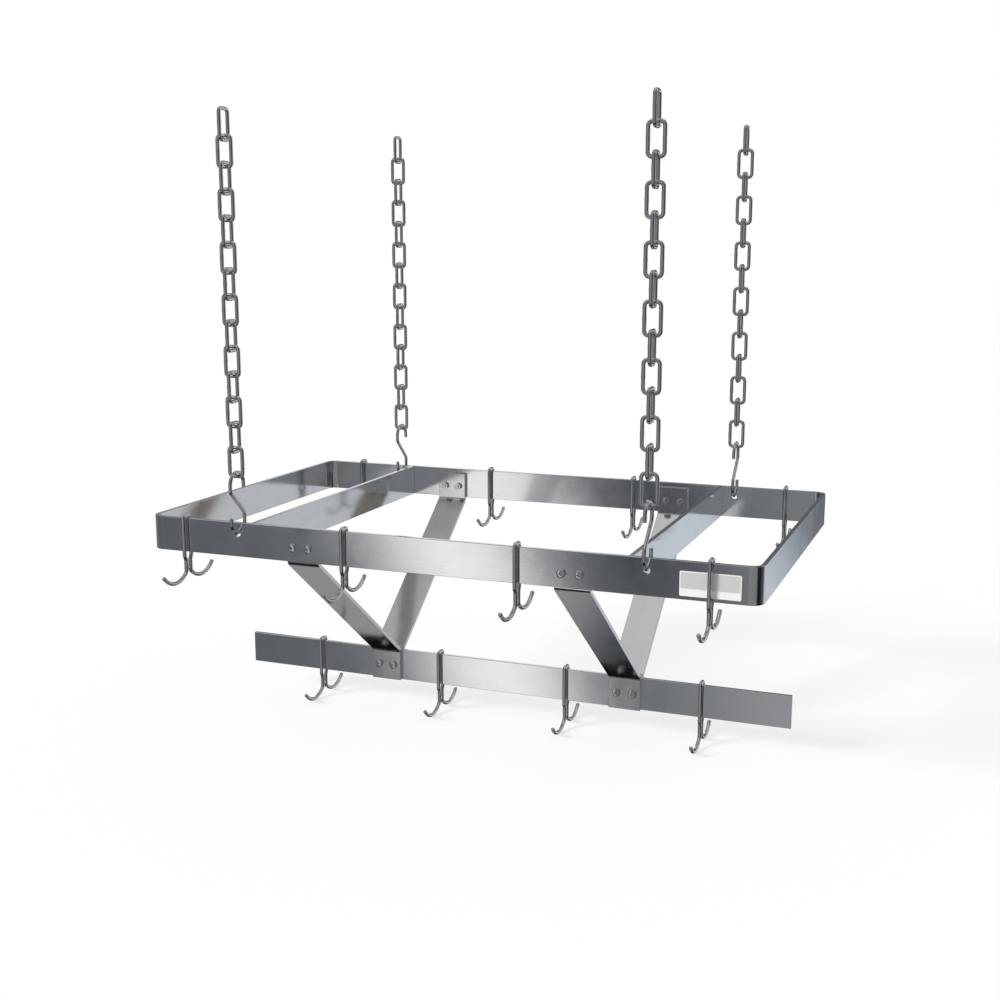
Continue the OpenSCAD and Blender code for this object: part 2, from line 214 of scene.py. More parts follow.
# %% Carry a section along a path
RIGHTWARD = Vector((1, 0, 0))
BACKWARD = Vector((0, 1, 0))
UPWARD = Vector((0, 0, 1))


def sweep(mesh, path, facing, section_at, closed=False):
    """Rings of section_at(i) along path, joined into a skin and capped where it is open"""
    count = len(path)
    rings = []
    for i, at in enumerate(path):
        before = path[i - 1] if closed or i > 0 else at
        after = path[(i + 1) % count] if closed or i < count - 1 else at
        across = facing.cross((after - before).normalized())
        rings.append([
            mesh.verts.new(at + across * a + facing * b) for a, b in section_at(i)
        ])
    pairs = list(zip(rings, rings[1:]))
    if closed:
        pairs.append((rings[-1], rings[0]))
    for ring, following in pairs:
        for k in range(len(ring)):
            mesh.faces.new((ring[k - 1], ring[k], following[k], following[k - 1]))
    if not closed:
        mesh.faces.new(rings[0])
        mesh.faces.new(list(reversed(rings[-1])))


# %% The outlines that sections and paths are made of
def arc(centre, radius, start, end, steps):
    """Points of an arc in a plane, with its angles in degrees"""
    angles = [math.radians(start + (end - start) * i / steps) for i in range(steps + 1)]
    return [
        (centre[0] + radius * math.cos(a), centre[1] + radius * math.sin(a)) for a in angles
    ]


def circle(radius, sides):
    """The points of a whole circle, each of them once"""
    return arc((0, 0), radius, 0, 360 - 360 / sides, sides - 1)


def rounded_rectangle(half_a, half_b, radius, steps):
    """Four arcs whose centres lie half_a and half_b away from the middle"""
    corners = [((1, 1), 0), ((-1, 1), 90), ((-1, -1), 180), ((1, -1), 270)]
    return [
        point for (side_a, side_b), turn in corners
        for point in arc((side_a * half_a, side_b * half_b), radius, turn, turn + 90, steps)
    ]


# %% Turn a mesh into a piece of the rack
SHARP_DEGREES = 50


def as_object(name, mesh):
    """An object in the scene that takes over the mesh"""
    data = bpy.data.meshes.new(name)
    mesh.to_mesh(data)
    mesh.free()
    made = bpy.data.objects.new(name, data)
    bpy.context.scene.collection.objects.link(made)
    return made


def as_piece(name, mesh, material, body, node, keep_flats=False):
    """A smooth-shaded object from the mesh that rides on body and stands for a CAD node"""
    bmesh.ops.recalc_face_normals(mesh, faces=mesh.faces)
    piece = as_object(name, mesh)
    for face in piece.data.polygons:
        face.use_smooth = True
    piece.data.set_sharp_from_angle(angle=math.radians(SHARP_DEGREES))
    piece.data.materials.append(material)
    if keep_flats:
        weighted = piece.modifiers.new("weighted_normals", "WEIGHTED_NORMAL")
        weighted.keep_sharp = True
        weighted.weight = 100
    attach(piece, body)
    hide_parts(node)
    return piece


# %% [markdown]
# ## Flat bars with eased edges
# Rolled flat bar never has knife edges. A small radius on each edge catches the light, and
# is seen as the thin pale line along the top of every bar. A Bevel modifier would round the
# edges too, but it would also work on the rims of the holes, so the radius is drawn in the
# section itself, and a free end closes in over the same radius.

# %% The section of a flat bar
BAR_HEIGHT = 50.8 * MM
BAR_THICK = 6.35 * MM
EDGE_RADIUS = 0.7 * MM
EASE_STEPS = (0.0, 0.4, 1.0)
EASE_INSETS = (0.7, 0.2, 0.0)


def bar_section(thick, height, inset=0.0):
    """A rectangle with rounded corners, made smaller all round by inset"""
    radius = EDGE_RADIUS - 0.5 * inset
    return rounded_rectangle(thick / 2 - inset - radius, height / 2 - inset - radius, radius, 4)


def ends_in(count, thick, height):
    """The section along a bar of count rings, whose rings next to its ends close in a little"""

    def section_at(i):
        ring = min(i, count - 1 - i, len(EASE_INSETS) - 1)
        return bar_section(thick, height, EASE_INSETS[ring] * EDGE_RADIUS)

    return section_at


print("an eased end takes", round(EASE_STEPS[-1] * EDGE_RADIUS / MM, 2), "mm of a bar")

# %% [markdown]
# ## The top band
# The band is one bar bent round four corners and welded shut. Its path is a rectangle with
# round corners along the middle of the bar. Four holes near the bends take the S-hooks.
# They are cut with a Boolean, whose cutter is a little wider at both faces, so that each
# hole gets the small countersink that a drill leaves.

# %% Bend the band
band_low, band_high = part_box("top_band")
OUTER_BEND_RADIUS = 19.05 * MM
BEND_RADIUS = OUTER_BEND_RADIUS - BAR_THICK / 2
half_length = band_high.x - BAR_THICK / 2 - BEND_RADIUS
half_width = band_high.y - BAR_THICK / 2 - BEND_RADIUS
band_middle_z = (band_low.z + band_high.z) / 2

band_path = [
    Vector((x, y, band_middle_z))
    for x, y in rounded_rectangle(half_length, half_width, BEND_RADIUS, 16)
]
band_mesh = bmesh.new()
sweep(band_mesh, band_path, UPWARD, lambda i: bar_section(BAR_THICK, BAR_HEIGHT), closed=True)
band = as_piece(
    "band_bar", band_mesh, level_bar_steel, "rack", "top_band", keep_flats=True
)
print("band:", round(band_high.x - band_low.x, 4), "by", round(band_high.y - band_low.y, 4), "m")

# %% Cut a shape out of a piece
def cut_out(piece, cutter, crossing=False):
    """Takes the cutter's shape out of a piece, ahead of its modifiers, and clears the cutter"""
    cut = piece.modifiers.new("cut", "BOOLEAN")
    cut.operation = "DIFFERENCE"
    cut.object = cutter
    cut.solver = "EXACT"
    cut.use_self = crossing
    piece.modifiers.move(len(piece.modifiers) - 1, 0)
    bpy.context.view_layer.objects.active = piece
    bpy.ops.object.modifier_apply(modifier="cut")
    bpy.data.objects.remove(cutter)


# %% Drill the four holes for the S-hooks
HANG_X = 306.5 * MM
HANG_HOLE_RADIUS = 4.75 * MM
HANG_HOLE_DEPTH = 17.0 * MM
COUNTERSINK = 0.5 * MM
HOLE_SIDES = 48
bar_y = band_high.y - BAR_THICK / 2

half_thick = BAR_THICK / 2
reach = half_thick + 2 * COUNTERSINK
drill_profile = [
    (-reach, HANG_HOLE_RADIUS + 3 * COUNTERSINK), (-half_thick, HANG_HOLE_RADIUS + COUNTERSINK),
    (-half_thick + COUNTERSINK, HANG_HOLE_RADIUS), (half_thick - COUNTERSINK, HANG_HOLE_RADIUS),
    (half_thick, HANG_HOLE_RADIUS + COUNTERSINK), (reach, HANG_HOLE_RADIUS + 3 * COUNTERSINK),
]
drill_mesh = bmesh.new()
for side_x in (-1, 1):
    for side_y in (-1, 1):
        hole = Vector((side_x * HANG_X, side_y * bar_y, band_high.z - HANG_HOLE_DEPTH))
        sweep(
            drill_mesh, [hole + BACKWARD * along for along, radius in drill_profile], UPWARD,
            lambda i: circle(drill_profile[i][1], HOLE_SIDES),
        )
bmesh.ops.recalc_face_normals(drill_mesh, faces=drill_mesh.faces)
cut_out(band, as_object("drill", drill_mesh))
print("band faces after drilling:", len(band.data.polygons))

# %% [markdown]
# ## Crossbars and lower bar
# The two crossbars are plain lengths between the long sides of the band, and the lower bar
# is a length of the same bar. All their ends are sawn square and eased with a file, which
# leaves a fine dark line where a crossbar meets the band. A stretched cube would be quicker,
# but every edge of it would be knife-sharp, so the bar's section is swept through each
# node's box, with three rings close together at either end.

# %% Lay the straight bars
def lay_bar(node, name, along):
    """A length of flat bar with eased ends, which fills a node's box along one direction"""
    low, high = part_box(node)
    half_span = (high - low).dot(along) / 2
    places = [step * EDGE_RADIUS - half_span for step in EASE_STEPS]
    places += [-place for place in reversed(places)]
    path = [(low + high) / 2 + along * place for place in places]
    bar_mesh = bmesh.new()
    sweep(bar_mesh, path, UPWARD, ends_in(len(path), BAR_THICK, BAR_HEIGHT))
    as_piece(name, bar_mesh, level_bar_steel, "rack", node, keep_flats=True)
    print(name, "is", round(2 * half_span, 4), "m long")


lay_bar("left_crossbar", "left_crossbar_bar", BACKWARD)
lay_bar("right_crossbar", "right_crossbar_bar", BACKWARD)
lay_bar("lower_bar", "low_bar", RIGHTWARD)

# %% [markdown]
# ## The four braces
# A brace is a strap with two bends: a short flange bolted inside the band, a sloping web and
# a second flange on the lower bar. A straight bar could be folded with modifiers, but that
# would pinch its section at the bends. So the middle line is drawn as it is seen from the
# side, with three straight lengths and two arcs, and the strap's section follows it. The
# rear braces use the line as it is, and the front ones turned round.

# %% Bend the braces
BRACE_WIDTH = 50.8 * MM
BRACE_THICK = 6.35 * MM
BRACE_BEND_RADIUS = 7.0 * MM
BRACE_BEND_DROP = 4.0 * MM

rear_low, rear_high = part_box("rear_left_brace")
lower_bar_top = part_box("lower_bar")[1].z
upper_y = rear_high.y - BRACE_THICK / 2
lower_y = rear_low.y + BRACE_THICK / 2
upper_z = band_low.z - BRACE_BEND_DROP
slope = math.atan2(upper_y - lower_y, upper_z - lower_bar_top)
trim = BRACE_BEND_RADIUS * math.tan(slope / 2)
slope_degrees = math.degrees(slope)

strap_line = [(upper_y, rear_high.z - step * EDGE_RADIUS) for step in EASE_STEPS]
strap_line += arc(
    (upper_y - BRACE_BEND_RADIUS, upper_z + trim), BRACE_BEND_RADIUS, 0, -slope_degrees, 10
)
strap_line += arc(
    (lower_y + BRACE_BEND_RADIUS, lower_bar_top - trim), BRACE_BEND_RADIUS,
    180 - slope_degrees, 180, 10
)
strap_line += [(lower_y, rear_low.z + step * EDGE_RADIUS) for step in reversed(EASE_STEPS)]

for node in ("front_left_brace", "front_right_brace", "rear_left_brace", "rear_right_brace"):
    low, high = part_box(node)
    middle_x = (low.x + high.x) / 2
    side = -1 if node.startswith("front") else 1
    path = [Vector((middle_x, side * y, z)) for y, z in strap_line]
    brace_mesh = bmesh.new()
    sweep(brace_mesh, path, RIGHTWARD, ends_in(len(path), BRACE_THICK, BRACE_WIDTH))
    as_piece(node + "_strap", brace_mesh, brace_steel, "rack", node, keep_flats=True)
print("web slope:", round(90 - slope_degrees, 2), "degrees from level")

# %% [markdown]
# ## Wire: chains and hooks
# Chain, S-hooks and pot hooks are drawn wire with a bright finish. Their metal is smoother
# than the ground bars, so the dark and pale parts of the room stand in it as sharp lines.
# A perfect mirror would look like glass at this size. The bars' recipe serves again, with
# fine noise without a direction, which breaks the shine up a little, as plating does.

# %% The metals of chain and hooks
chain_metal = grained_steel(
    "chain_metal", dark=(0.68, 0.70, 0.72), light=(0.80, 0.81, 0.82), grain=(400, 400, 400),
    smooth=0.06, dull=0.09, depth=0.02,
)
hook_metal = grained_steel(
    "hook_metal", dark=(0.70, 0.705, 0.71), light=(0.82, 0.82, 0.82), grain=(500, 500, 500),
    smooth=0.05, dull=0.09, depth=0.02,
)
print("made:", chain_metal.name, hook_metal.name)

# %% Round sections and their ends
WIRE_RADIUS = 2.75 * MM
HOOK_RADIUS = 3.0 * MM
WIRE_SIDES = 20


def wire_section(radius):
    """The points of a round section"""
    return circle(radius, WIRE_SIDES)


def cropped_tips(line, length):
    """The line with three more points in its last stretch at both ends, for the tips"""

    def tip(end, inner):
        run = math.hypot(inner[0] - end[0], inner[1] - end[1])
        toward = ((inner[0] - end[0]) / run, (inner[1] - end[1]) / run)
        return [
            (end[0] + toward[0] * s * length, end[1] + toward[1] * s * length)
            for s in (0.0, 0.25, 0.6)
        ]

    start = tip(line[0], line[1])
    end = tip(line[-1], line[-2])
    return start + line[1:-1] + list(reversed(end))


def tip_radius(i, count, radius):
    """The wire's radius at ring i: it closes in over the three rings at each end"""
    closing = {0: 0.67, 1: 0.86, 2: 0.97}
    return radius * closing.get(min(i, count - 1 - i), 1.0)


def bend_wire(mesh, path, radius):
    """A length of wire with worn tips along a path that faces along the rack"""
    sweep(mesh, path, RIGHTWARD, lambda i: wire_section(tip_radius(i, len(path), radius)))


print("wires:", [round(2 * radius / MM, 1) for radius in (WIRE_RADIUS, HOOK_RADIUS)], "mm thick")

# %% [markdown]
# ## The chains
# Each link is a long loop of wire with four round corners, welded shut in the middle of one
# side, where the weld leaves a slight swelling. Every second link is turned a quarter, which
# is what lets a chain hang straight and bend both ways. A stretched torus would come close,
# but its sides would bulge, so one loop with straight sides is drawn and all links share it.

# %% Draw a link
LINK_PITCH = 36.2 * MM
LINK_INNER = 36.5 * MM
LINK_WIDTH = 26.8 * MM
LINK_COUNT = 14
LINK_CORNER = 5.5 * MM
WELD_SWELL = 0.09
WELD_SPREAD = 0.3
corner_a = LINK_WIDTH / 2 - WIRE_RADIUS - LINK_CORNER
corner_b = LINK_INNER / 2 + WIRE_RADIUS - LINK_CORNER
side_a = corner_a + LINK_CORNER

link_steps = [-0.6, -0.3, -0.2, -0.1, 0.0, 0.1, 0.2, 0.3, 0.6]
link_line = arc((corner_a, corner_b), LINK_CORNER, 0, 90, 8)
link_line += arc((-corner_a, corner_b), LINK_CORNER, 90, 180, 8)
link_line += [(-side_a, -corner_b * step) for step in link_steps]
link_line += arc((-corner_a, -corner_b), LINK_CORNER, 180, 270, 8)
link_line += arc((corner_a, -corner_b), LINK_CORNER, 270, 360, 8)
link_line += [(side_a, corner_b * step) for step in link_steps]


def link_section(i):
    """The round section of a link, swollen at the weld on its first side"""
    a, b = link_line[i]
    near = max(0.0, 1 - abs(b) / (WELD_SPREAD * corner_b)) if a < 0 else 0.0
    return wire_section(WIRE_RADIUS * (1 + WELD_SWELL * near))


def add_link(mesh, number, x, y):
    """One more link in a mesh: odd numbers face along the rack and even ones across it"""
    middle_z = -LINK_INNER / 2 - (number - 1) * LINK_PITCH
    if number % 2:
        path = [Vector((x, y + a, middle_z + b)) for a, b in link_line]
        sweep(mesh, path, RIGHTWARD, link_section, closed=True)
    else:
        path = [Vector((x + a, y, middle_z + b)) for a, b in link_line]
        sweep(mesh, path, BACKWARD, link_section, closed=True)


# %% Hang the four chains
corners = [(front, side) for front in ("front", "rear") for side in ("left", "right")]
for front, side in corners:
    x = HANG_X * (-1 if side == "left" else 1)
    y = bar_y * (-1 if front == "front" else 1)
    corner = front + "_" + side
    spans = [
        ("_top_link", "hanging_links", [1]),
        ("_second_link", corner + "_second_link", [2]),
        ("_chain", corner + "_chain", range(3, LINK_COUNT + 1)),
    ]
    for ending, body, numbers in spans:
        chain_mesh = bmesh.new()
        for number in numbers:
            add_link(chain_mesh, number, x, y)
        as_piece(corner + ending + "_wire", chain_mesh, chain_metal, body, corner + ending)
low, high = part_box("front_left_chain")
print("chain from", round(high.z, 4), "down to", round(low.z, 4), "m")

# %% [markdown]
# ## The S-hooks
# An S-hook joins each chain to the band. Its two loops are arcs, and a sloping shank runs
# between them. A free curve through a few points would wander between them. So one half is
# drawn from arcs, and the other is the same half turned upside down, and the whole line is
# as even as one bent on a jig.

# %% Bend the S-hooks
S_LOOP_RADIUS = 17.5 * MM
S_LOOP_HEIGHT = 26.9 * MM
S_END = 6.0 * MM
S_SHANK_HALF = 17.0 * MM
S_BEND_RADIUS = 8.0 * MM
S_TIP = 0.8 * MM
shank_slope = math.degrees(math.atan2(S_LOOP_RADIUS, S_SHANK_HALF))
bend_height = S_SHANK_HALF + S_BEND_RADIUS * math.tan(math.radians(shank_slope / 2))

s_half = [
    (S_LOOP_RADIUS, S_LOOP_HEIGHT - S_END - S_TIP), (S_LOOP_RADIUS, S_LOOP_HEIGHT - S_END / 2),
]
s_half += arc((0, S_LOOP_HEIGHT), S_LOOP_RADIUS, 0, 180, 28)
s_half += arc(
    (-S_LOOP_RADIUS + S_BEND_RADIUS, bend_height), S_BEND_RADIUS, 180, 180 + shank_slope, 8
)
s_line = s_half + [(-a, -b) for a, b in reversed(s_half)]
s_line = cropped_tips(s_line, 2 * S_TIP)

for front, side in corners:
    node = front + "_" + side + "_s_hook"
    low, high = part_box(node)
    middle = (low + high) / 2
    turned = 1 if side == "left" else -1
    path = [Vector((middle.x, middle.y + turned * a, middle.z + b)) for a, b in s_line]
    s_mesh = bmesh.new()
    bend_wire(s_mesh, path, WIRE_RADIUS)
    as_piece(node + "_wire", s_mesh, hook_metal, node, node)
print("S-hook:", round(high.z - low.z, 4), "m long")

# %% [markdown]
# ## The pot hooks
# A pot hook is one wire laid over a bar. Its two legs close in a little below the bar, are
# welded together where they end, and swing out into two wide curves with cropped tips. Both
# halves are alike, so half of the line is drawn and mirrored, and no curve has to be shaped
# twice. The weld is a short bead with ripples between the legs.

# %% Draw a pot hook
LEG_Y = 8.375 * MM
NECK_Y = 5.4 * MM
TOP_Z = 54.3 * MM
TOP_BEND = 5.2 * MM
CLOSE_TOP = -5.0 * MM
CLOSE_LOW = -13.0 * MM
CLOSE_STEPS = 10
CURVE_RADIUS = 38.0 * MM
CURVE_Y = 32.5 * MM
CURVE_Z = -3.5 * MM
LEG_BEND = 6.0 * MM
TIP_ANGLE = 320.83
HOOK_TIP = 0.9 * MM

bend_y = NECK_Y + LEG_BEND
bend_z = CURVE_Z - math.sqrt((CURVE_RADIUS - LEG_BEND) ** 2 - (CURVE_Y - bend_y) ** 2)
blend_angle = math.degrees(math.atan2(bend_z - CURVE_Z, bend_y - CURVE_Y)) + 360
tip_extra = math.degrees(HOOK_TIP / CURVE_RADIUS)

hook_half = arc((LEG_Y - TOP_BEND, TOP_Z - TOP_BEND), TOP_BEND, 90, 0, 8)
for i in range(CLOSE_STEPS + 1):
    share = i / CLOSE_STEPS
    eased = share * share * (3 - 2 * share)
    hook_half.append(
        (LEG_Y + (NECK_Y - LEG_Y) * eased, CLOSE_TOP + (CLOSE_LOW - CLOSE_TOP) * share)
    )
hook_half += arc((bend_y, bend_z), LEG_BEND, 180, blend_angle, 8)
hook_half += arc((CURVE_Y, CURVE_Z), CURVE_RADIUS, blend_angle, TIP_ANGLE + tip_extra, 26)[1:]
hook_line = [(-a, b) for a, b in reversed(hook_half)] + hook_half
hook_line = cropped_tips(hook_line, 2 * HOOK_TIP)
print("pot hook wire:", len(hook_line), "rings")


# %% Draw the weld between the legs
WELD_TOP = bend_z + 6.9 * MM
WELD_LOW = bend_z - 0.3 * MM
WELD_HALF_WIDTH = 3.4 * MM
WELD_HALF_DEPTH = 2.1 * MM
WELD_RIPPLES = 3
RINGS_PER_RIPPLE = 6
RIPPLE_HEIGHT = 0.05


def add_weld(mesh, foot):
    """A flattened bead between two legs, with a rippled surface and closed ends"""
    steps = RINGS_PER_RIPPLE * WELD_RIPPLES
    path = []
    sizes = []
    for i in range(steps + 1):
        share = i / steps
        path.append(foot + UPWARD * (WELD_TOP + (WELD_LOW - WELD_TOP) * share))
        closing = math.sin(math.pi * min(max(share, 0.04), 0.96)) ** 0.35
        sizes.append(closing * (1 + RIPPLE_HEIGHT * math.cos(2 * math.pi * WELD_RIPPLES * share)))
    sweep(
        mesh, path, RIGHTWARD,
        lambda i: [
            (a * WELD_HALF_WIDTH * sizes[i], b * WELD_HALF_DEPTH * sizes[i])
            for a, b in wire_section(1.0)
        ],
    )


print("weld:", round((WELD_TOP - WELD_LOW) / MM, 1), "mm long")

# %% Put the twelve hooks on their bars
hook_rise = TOP_Z + HOOK_RADIUS
hook_nodes = [
    row + "_hook_" + str(number) for row in ("front", "rear", "lower") for number in (1, 2, 3, 4)
]
for node in hook_nodes:
    low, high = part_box(node)
    foot = Vector(((low.x + high.x) / 2, (low.y + high.y) / 2, high.z - hook_rise))
    path = [foot + Vector((0, a, b)) for a, b in hook_line]
    hook_mesh = bmesh.new()
    bend_wire(hook_mesh, path, HOOK_RADIUS)
    add_weld(hook_mesh, foot)
    as_piece(node + "_wire", hook_mesh, hook_metal, node, node)
print("pot hooks:", len(hook_nodes))

# %% [markdown]
# ## Bolts and nuts
# Each flange is held by two pan-head screws with a cross recess. A head is a turned shape,
# so its outline is revolved, and the recess is cut out of it with a tapered cross, as the
# tool that forms a real one is tapered. A hex nut with chamfered corners sits on the other
# side, with the rounded end of the screw standing out of it.

# %% The metal of the screws
screw_metal = grained_steel(
    "screw_metal", dark=(0.74, 0.75, 0.76), light=(0.88, 0.88, 0.88), grain=(900, 900, 900),
    smooth=0.12, dull=0.2, depth=0.1,
)
print("made:", screw_metal.name)


# %% Turn a head
def add_turned(mesh, foot, axis, outline, sides):
    """A turned shape: outline gives (distance along axis, radius) from its base outwards"""
    path = [foot + axis * along for along, radius in outline]
    sweep(mesh, path, UPWARD, lambda i: circle(outline[i][1], sides))


HEAD_SIDES = 40
HEAD_RADIUS = 6.25 * MM
HEAD_HEIGHT = 3.8 * MM
head_outline = [
    (0.0, HEAD_RADIUS - 0.25 * MM), (0.25 * MM, HEAD_RADIUS), (2.1 * MM, HEAD_RADIUS),
    (2.8 * MM, 6.05 * MM), (3.3 * MM, 5.6 * MM), (3.6 * MM, 5.0 * MM),
    (3.74 * MM, 4.2 * MM), (3.79 * MM, 3.0 * MM), (HEAD_HEIGHT, 0.4 * MM),
]
print("head:", round(2 * HEAD_RADIUS / MM, 1), "mm across")

# %% Shape a nut and the end of a screw
NUT_FLATS = 11.1 * MM
NUT_HEIGHT = 5.5 * MM
SCREW_RADIUS = 3.175 * MM
SCREW_END = 1.5 * MM
SCREW_SIDES = 32
THREAD_TURNS = 2
THREAD_PITCH = 0.45 * MM
THREAD_DEPTH = 0.3 * MM
THREAD_GROOVE = 0.22 * MM


def add_nut(mesh, foot, axis):
    """A hex nut whose corners are turned down at both faces"""
    corner_radius = NUT_FLATS / 2 / math.cos(math.radians(30))

    def hexagon(limit):
        points = []
        for k in range(60):
            angle = math.radians(k * 6)
            off_flat = math.radians((k * 6 + 30) % 60 - 30)
            radius = min(NUT_FLATS / 2 / math.cos(off_flat), limit)
            points.append((radius * math.cos(angle), radius * math.sin(angle)))
        return points

    flat_radius = NUT_FLATS / 2
    middle_radius = (flat_radius + corner_radius) / 2
    levels = [
        (0.0, flat_radius * 0.97), (0.25 * MM, flat_radius * 1.02), (0.6 * MM, middle_radius),
        (1.1 * MM, corner_radius), (NUT_HEIGHT - 1.1 * MM, corner_radius),
        (NUT_HEIGHT - 0.6 * MM, middle_radius), (NUT_HEIGHT - 0.25 * MM, flat_radius * 1.02),
        (NUT_HEIGHT, flat_radius * 0.97),
    ]
    path = [foot + axis * along for along, limit in levels]
    sweep(mesh, path, UPWARD, lambda i: hexagon(levels[i][1]))


def add_screw_end(mesh, foot, axis):
    """The end of the screw, threaded as far as it stands out of its nut"""
    outline = [(-0.5 * MM, SCREW_RADIUS)]
    for turn in range(THREAD_TURNS):
        crest = 0.1 * MM + turn * THREAD_PITCH
        outline += [(crest, SCREW_RADIUS), (crest + THREAD_GROOVE, SCREW_RADIUS - THREAD_DEPTH)]
    outline += [
        (1.0 * MM, SCREW_RADIUS), (1.25 * MM, SCREW_RADIUS - 0.25 * MM),
        (SCREW_END, SCREW_RADIUS - 0.9 * MM),
    ]
    add_turned(mesh, foot, axis, outline, SCREW_SIDES)


print("nut:", round(NUT_FLATS / MM, 1), "mm across its flats")

# %% Cut the cross recess
RECESS_REACH = 3.1 * MM
RECESS_WIDTH = 1.6 * MM
RECESS_DEPTH = 1.9 * MM


def cross_cutter(heads):
    """A tapered cross at each head, from above its top down to the recess's depth"""
    cross_mesh = bmesh.new()
    for foot, axis in heads:
        for along, beside in ((RIGHTWARD, UPWARD), (UPWARD, RIGHTWARD)):
            ends = []
            for height, grow in ((HEAD_HEIGHT - RECESS_DEPTH, 0.45), (HEAD_HEIGHT + 0.5 * MM, 1.1)):
                a = RECESS_REACH * grow
                b = RECESS_WIDTH / 2 * (0.6 + 0.4 * grow)
                centre = foot + axis * height
                ends.append([
                    cross_mesh.verts.new(centre + along * s * a + beside * t * b)
                    for s, t in ((-1, -1), (1, -1), (1, 1), (-1, 1))
                ])
            lower, upper = ends
            cross_mesh.faces.new(lower)
            cross_mesh.faces.new(list(reversed(upper)))
            for k in range(4):
                cross_mesh.faces.new((lower[k - 1], lower[k], upper[k], upper[k - 1]))
    bmesh.ops.recalc_face_normals(cross_mesh, faces=cross_mesh.faces)
    return as_object("cross", cross_mesh)


# %% Put in the screws and nuts
BRACE_X = 203.2 * MM
BOLT_PITCH = 25.4 * MM
bolt_xs = [side * BRACE_X + step * BOLT_PITCH / 2 for side in (-1, 1) for step in (-1, 1)]

screw_sets = [("upper_bolts", "upper_nuts"), ("lower_bolts", "lower_nuts")]
for bolts, nuts in screw_sets:
    low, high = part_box(bolts)
    nut_low, nut_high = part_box(nuts)
    height = (low.z + high.z) / 2
    heads = []
    backs = []
    for x in bolt_xs:
        heads.append((Vector((x, low.y + HEAD_HEIGHT, height)), -BACKWARD))
        backs.append((Vector((x, nut_low.y, height)), BACKWARD))
        if bolts == "upper_bolts":
            heads.append((Vector((x, high.y - HEAD_HEIGHT, height)), BACKWARD))
            backs.append((Vector((x, nut_high.y, height)), -BACKWARD))
    head_mesh = bmesh.new()
    for foot, axis in heads:
        add_turned(head_mesh, foot, axis, head_outline, HEAD_SIDES)
    head_piece = as_piece(bolts + "_heads", head_mesh, screw_metal, "rack", bolts)
    cut_out(head_piece, cross_cutter(heads), crossing=True)
    back_mesh = bmesh.new()
    for foot, axis in backs:
        add_nut(back_mesh, foot, axis)
        add_screw_end(back_mesh, foot + axis * NUT_HEIGHT, axis)
    as_piece(nuts + "_hex", back_mesh, screw_metal, "rack", nuts, keep_flats=True)
    print(bolts, "heads:", len(heads), "nuts:", len(backs))

# %% [markdown]
# ## The plate on the front bar
# A thin foil plate is stuck on the band near its right end. It stays bare: a satin silver
# field with a white edge over a white strip, with rounded corners. The strip could be a
# second plate, but two faces that close together would flicker. Its two tones are one
# material that changes colour by place, so there is no second layer to come loose.

# %% Mix the foil
LABEL_WHITE = (0.9, 0.9, 0.9)
SATIN_SILVER = (0.80, 0.81, 0.82)
STRIP_SHARE = 0.3
EDGE_STRIP = 1.4 * MM
TONE_BLUR = 0.1 * MM
SPECKLES_PER_METRE = 900.0
label_low, label_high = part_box("blank_label")
label_centre = (label_low + label_high) / 2
strip_top = label_low.z + STRIP_SHARE * (label_high.z - label_low.z)
field_top = label_high.z - EDGE_STRIP
field_side = label_high.x - label_centre.x - EDGE_STRIP

foil = bpy.data.materials.new("plate_foil")
foil.use_nodes = True
foil_place = add_node(foil, "ShaderNodeTexCoord").outputs["Object"]
foil_axes = add_node(foil, "ShaderNodeSeparateXYZ", feeds={"Vector": foil_place}).outputs
sideways = math_node(foil, "ABSOLUTE", math_node(foil, "SUBTRACT", foil_axes["X"], label_centre.x))
above_strip = remap(foil, foil_axes["Z"], strip_top - TONE_BLUR, strip_top + TONE_BLUR)
below_edge = remap(foil, foil_axes["Z"], field_top + TONE_BLUR, field_top - TONE_BLUR)
within_edges = remap(foil, sideways, field_side + TONE_BLUR, field_side - TONE_BLUR)
inside_edges = math_node(foil, "MULTIPLY", below_edge, within_edges)
field = math_node(foil, "MULTIPLY", above_strip, inside_edges)
speckle = add_node(
    foil, "ShaderNodeTexNoise", {"Scale": SPECKLES_PER_METRE, "Detail": 2.0}, {"Vector": foil_place}
).outputs["Fac"]
foil_finish = {
    "Base Color": colour_between(foil, field, LABEL_WHITE, SATIN_SILVER),
    "Roughness": remap(foil, speckle, 0.0, 1.0, 0.35, 0.5),
    "Metallic": remap(foil, field, 0.0, 1.0, 0.0, 0.35),
}
for socket, source in foil_finish.items():
    foil.node_tree.links.new(source, foil.node_tree.nodes["Principled BSDF"].inputs[socket])
print("silver field:", round(2 * field_side / MM, 1), "mm wide")

# %% Stick on the plate
CORNER_RADIUS = 2.0 * MM
half_x = (label_high.x - label_low.x) / 2 - CORNER_RADIUS
half_z = (label_high.z - label_low.z) / 2 - CORNER_RADIUS
label_outline = rounded_rectangle(half_x, half_z, CORNER_RADIUS, 6)
plate_path = [Vector((label_centre.x, y, label_centre.z)) for y in (label_high.y, label_low.y)]
plate_mesh = bmesh.new()
sweep(plate_mesh, plate_path, UPWARD, lambda i: label_outline)
as_piece("plain_plate", plate_mesh, foil, "rack", "blank_label")
print("plate:", [round(high - low, 4) for low, high in zip(label_low, label_high)], "m")

# %% [markdown]
# ## Floor and light
# The rack is seen against plain white, with only a soft shadow below it. A white floor under
# enough light would do it, but so much light would bleach the steel. So the floor is a
# modest grey, and its paint is lifted to white only where it is looked at. The shadow stays.

